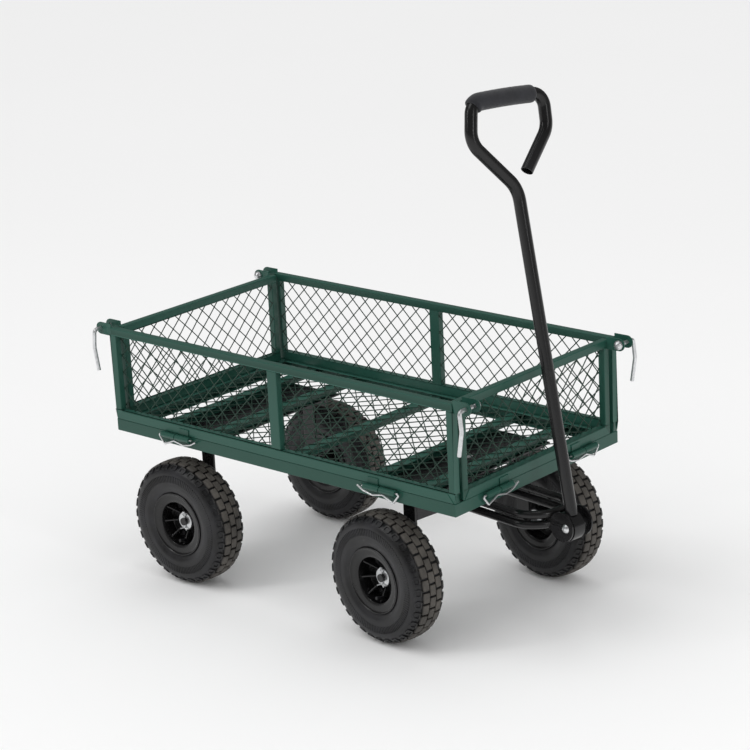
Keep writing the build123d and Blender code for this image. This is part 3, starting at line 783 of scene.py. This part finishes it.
# drawbar loops and handle, in the steered frame whose Y is the handle's own pivot axis
steerAxis = Vector(joints["handle"]["axis"]).normalized()
steered = Matrix((steerAxis.cross(up), steerAxis, up)).transposed().to_4x4()
kingPin = Vector(joints["steering"]["pos_m"])
loopSize = {"radius": 0.008, "half": 0.057, "bends": (0.056, 0.056), "tipX": 0.242,
            "rootX": 0.0155, "sides": 28}
for level in ("lower", "upper"):
    nodeName = f"drawbar_{level}_loop"
    low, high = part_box(nodeName)
    height = (low.z + high.z) / 2
    place = Matrix.Translation((kingPin.x, 0, height)) @ steered
    route = [place @ Vector((x, y, 0)) for x, y in
             ((loopSize["rootX"], loopSize["half"]), (loopSize["tipX"], loopSize["half"]),
              (loopSize["tipX"], -loopSize["half"]), (loopSize["rootX"], -loopSize["half"]))]
    bm = bmesh.new()
    bentTube(bm, route, loopSize["bends"], loopSize["radius"], loopSize["sides"], stepAngle=5.0)
    tidyNormals(bm)
    piece = finishPiece(bm, camelName(nodeName), nodeName)
    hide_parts(nodeName)


handleSize = {
    "leanBack": 10.8, "radius": 0.012, "sides": 32, "wall": 0.0018, "boreDepth": 0.05,
    "route": ((0, 0.022), (0, 0.64), (-0.096, 0.741), (-0.079, 0.811), (0.102, 0.801),
              (0.098, 0.735), (0.03, 0.667)),
    "bends": (0.06, 0.042, 0.025, 0.028, 0.042),
}
pivot = Vector(joints["handle"]["pos_m"])
lean = Matrix.Rotation(math.radians(-handleSize["leanBack"]), 4, "Y")
handlePlace = Matrix.Translation(pivot) @ steered @ lean
bm = bmesh.new()
route = [handlePlace @ Vector((0, y, z)) for y, z in handleSize["route"]]
bentTube(bm, route, handleSize["bends"], handleSize["radius"], handleSize["sides"],
         (0, handleSize["boreDepth"]), handleSize["wall"], 5.0)
tidyNormals(bm)
piece = finishPiece(bm, "handleTube", "handle_tube")
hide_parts("handle_tube")


# the foam sleeve swells a little in the middle and ends half way round the bar's left bend
gripSize = {
    "radius": 0.0168, "bow": 0.0012, "sides": 40, "stations": 26, "rightEnd": 0.0722,
    "bendSteps": 10, "ripple": 0.006, "rippleTurn": 2.1, "endRound": 0.004,
    "lipShares": (0.3, 0.6, 0.85, 1.0), "mouthGap": 0.0003, "mouthDepth": 0.006,
}


def gripEnd(bm, ring, way, centre, size):
    # a rounded lip, the foam's cut face and the mouth round the bar
    here = Vector(centre)
    for share in gripSize["lipShares"]:
        angle = share * math.pi / 2
        radius = gripSize["radius"] - gripSize["endRound"] * (1 - math.cos(angle))
        step = centre + way * gripSize["endRound"] * math.sin(angle) - here
        ring = pull(bm, ring, step, radius / size, here)
        here, size = here + step, radius
    inner = handleSize["radius"] + gripSize["mouthGap"]
    ring = pull(bm, ring, way * gripSize["mouthGap"], inner / size, here)
    pull(bm, ring, -way * gripSize["mouthDepth"])


def buildGrip():
    before, corner, after = (Vector((0, y, z)) for y, z in handleSize["route"][2:5])
    wayIn, wayOut = (corner - before).normalized(), (after - corner).normalized()
    bend = handleSize["bends"][2]
    turn = wayIn.angle(wayOut)
    axis = wayIn.cross(wayOut).normalized()
    arcEnd = corner + wayOut * bend * math.tan(turn / 2)
    length = (gripSize["rightEnd"] - arcEnd.y) / wayOut.y - gripSize["endRound"]
    bm = bmesh.new()
    first = ringAt(bm, arcEnd, wayOut, gripSize["radius"], gripSize["sides"])
    ring, here, size = first, arcEnd, gripSize["radius"]
    for step in range(1, gripSize["stations"] + 1):
        share = step / gripSize["stations"]
        radius = gripSize["radius"]
        if share < 1:
            radius *= 1 + gripSize["ripple"] * math.sin(step * gripSize["rippleTurn"])
        place = arcEnd + wayOut * length * share
        ring = pull(bm, ring, place - here, radius / size, here)
        here, size = place, radius
    gripEnd(bm, ring, wayOut, here, size)
    centre = arcEnd + axis.cross(wayOut) * bend
    firstVerts = unique(vert for edge in first for vert in edge.verts)
    spun = bmesh.ops.spin(bm, geom=first + firstVerts, cent=centre, axis=axis, angle=-turn / 2,
                          steps=gripSize["bendSteps"], use_merge=False)["geom_last"]
    ring = onlyKind(spun, bmesh.types.BMEdge)
    half = Matrix.Rotation(-turn / 2, 3, axis)
    gripEnd(bm, ring, -(half @ wayOut), centre + half @ (arcEnd - centre), gripSize["radius"])
    for vert in bm.verts:
        share = min(1.0, max(0.0, (vert.co - arcEnd).dot(wayOut) / length))
        vert.co.z += gripSize["bow"] * (1 - (2 * share - 1) ** 2)
    bmesh.ops.transform(bm, matrix=handlePlace, verts=bm.verts)
    tidyNormals(bm)
    return bm


piece = finishPiece(buildGrip(), "handleGrip", "handle_grip")
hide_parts("handle_grip")
print("drawbar and handle built")


# floor, lights and camera
stageLook = {"floorSize": 60.0, "worldStrength": 0.78, "inGloss": 0.2}
# each light's kind, place, target, energy and size; a sun's size is an angle in degrees
lights = {
    "keySun": ("SUN", (-2.0, -3.0, 6.0), (0, 0, 0.3), 0.55, 35.0),
    "leftSoftbox": ("AREA", (-1.8, -3.2, 2.6), (0.1, 0, 0.3), 15.0, (0.45, 1.3)),
    "rightStrip": ("AREA", (3.6, -0.6, 1.7), (0.4, 0, 0.4), 11.0, (0.16, 1.7)),
    "topSoftbox": ("AREA", (0.4, 0.3, 3.4), (0, 0, 0.3), 5.0, (1.2, 0.6)),
}


def buildStage():
    bm = bmesh.new()
    bmesh.ops.create_grid(bm, x_segments=4, y_segments=4, size=stageLook["floorSize"] / 2)
    mesh = bpy.data.meshes.new("studioFloor")
    bm.to_mesh(mesh)
    bm.free()
    mesh.materials.append(floorPaint("floorPaint", floorLook))
    floor = bpy.data.objects.new("studioFloor", mesh)
    bpy.context.scene.collection.objects.link(floor)
    world = bpy.data.worlds.new("studioWorld")
    world.use_nodes = True
    tree = Wire(world.node_tree)
    background = world.node_tree.nodes["Background"]
    background.inputs["Color"].default_value = (1, 1, 1, 1)
    # the room looks darker in reflections, so that the softboxes stand out on the gloss
    glossy = tree.node("LightPath", output="Is Glossy Ray")
    dimming = stageLook["worldStrength"] - stageLook["inGloss"]
    strength = stageLook["worldStrength"] - glossy * dimming
    world.node_tree.links.new(strength.socket, background.inputs["Strength"])
    bpy.context.scene.world = world
    bpy.context.scene.view_settings.view_transform = "Standard"


def addLight(name, kind, place, target, energy, size):
    data = bpy.data.lights.new(name, kind)
    data.energy = energy
    if kind == "SUN":
        data.angle = math.radians(size)
    else:
        data.shape = "RECTANGLE"
        data.size, data.size_y = size
    light = bpy.data.objects.new(name, data)
    bpy.context.scene.collection.objects.link(light)
    light.location = place
    light.rotation_euler = (Vector(target) - Vector(place)).to_track_quat("-Z", "Y").to_euler()


buildStage()
for lightName, values in lights.items():
    addLight(lightName, *values)

viewpoint = {"azimuth": 42.54, "elevation": 18.39, "roll": -3.0, "distance": 5.0466, "lens": 120.9,
             "target": (0, 0, 0.3518), "shift": (0.0184, 0.0499)}


def addCamera():
    azimuth = math.radians(viewpoint["azimuth"])
    elevation = math.radians(viewpoint["elevation"])
    roll = math.radians(viewpoint["roll"])
    back = Vector((math.sin(azimuth) * math.cos(elevation),
                   -math.cos(azimuth) * math.cos(elevation), math.sin(elevation)))
    right = Vector((math.cos(azimuth), math.sin(azimuth), 0))
    upright = back.cross(right)
    side = right * math.cos(roll) + upright * math.sin(roll)
    head = upright * math.cos(roll) - right * math.sin(roll)
    data = bpy.data.cameras.new("camera")
    data.lens = viewpoint["lens"]
    data.sensor_width = 36.0
    data.shift_x, data.shift_y = viewpoint["shift"]
    camera = bpy.data.objects.new("camera", data)
    bpy.context.scene.collection.objects.link(camera)
    turn = Matrix((side, head, back)).transposed().to_4x4()
    eye = Vector(viewpoint["target"]) + back * viewpoint["distance"]
    camera.matrix_world = Matrix.Translation(eye) @ turn
    bpy.context.scene.camera = camera


addCamera()
print("stage set")
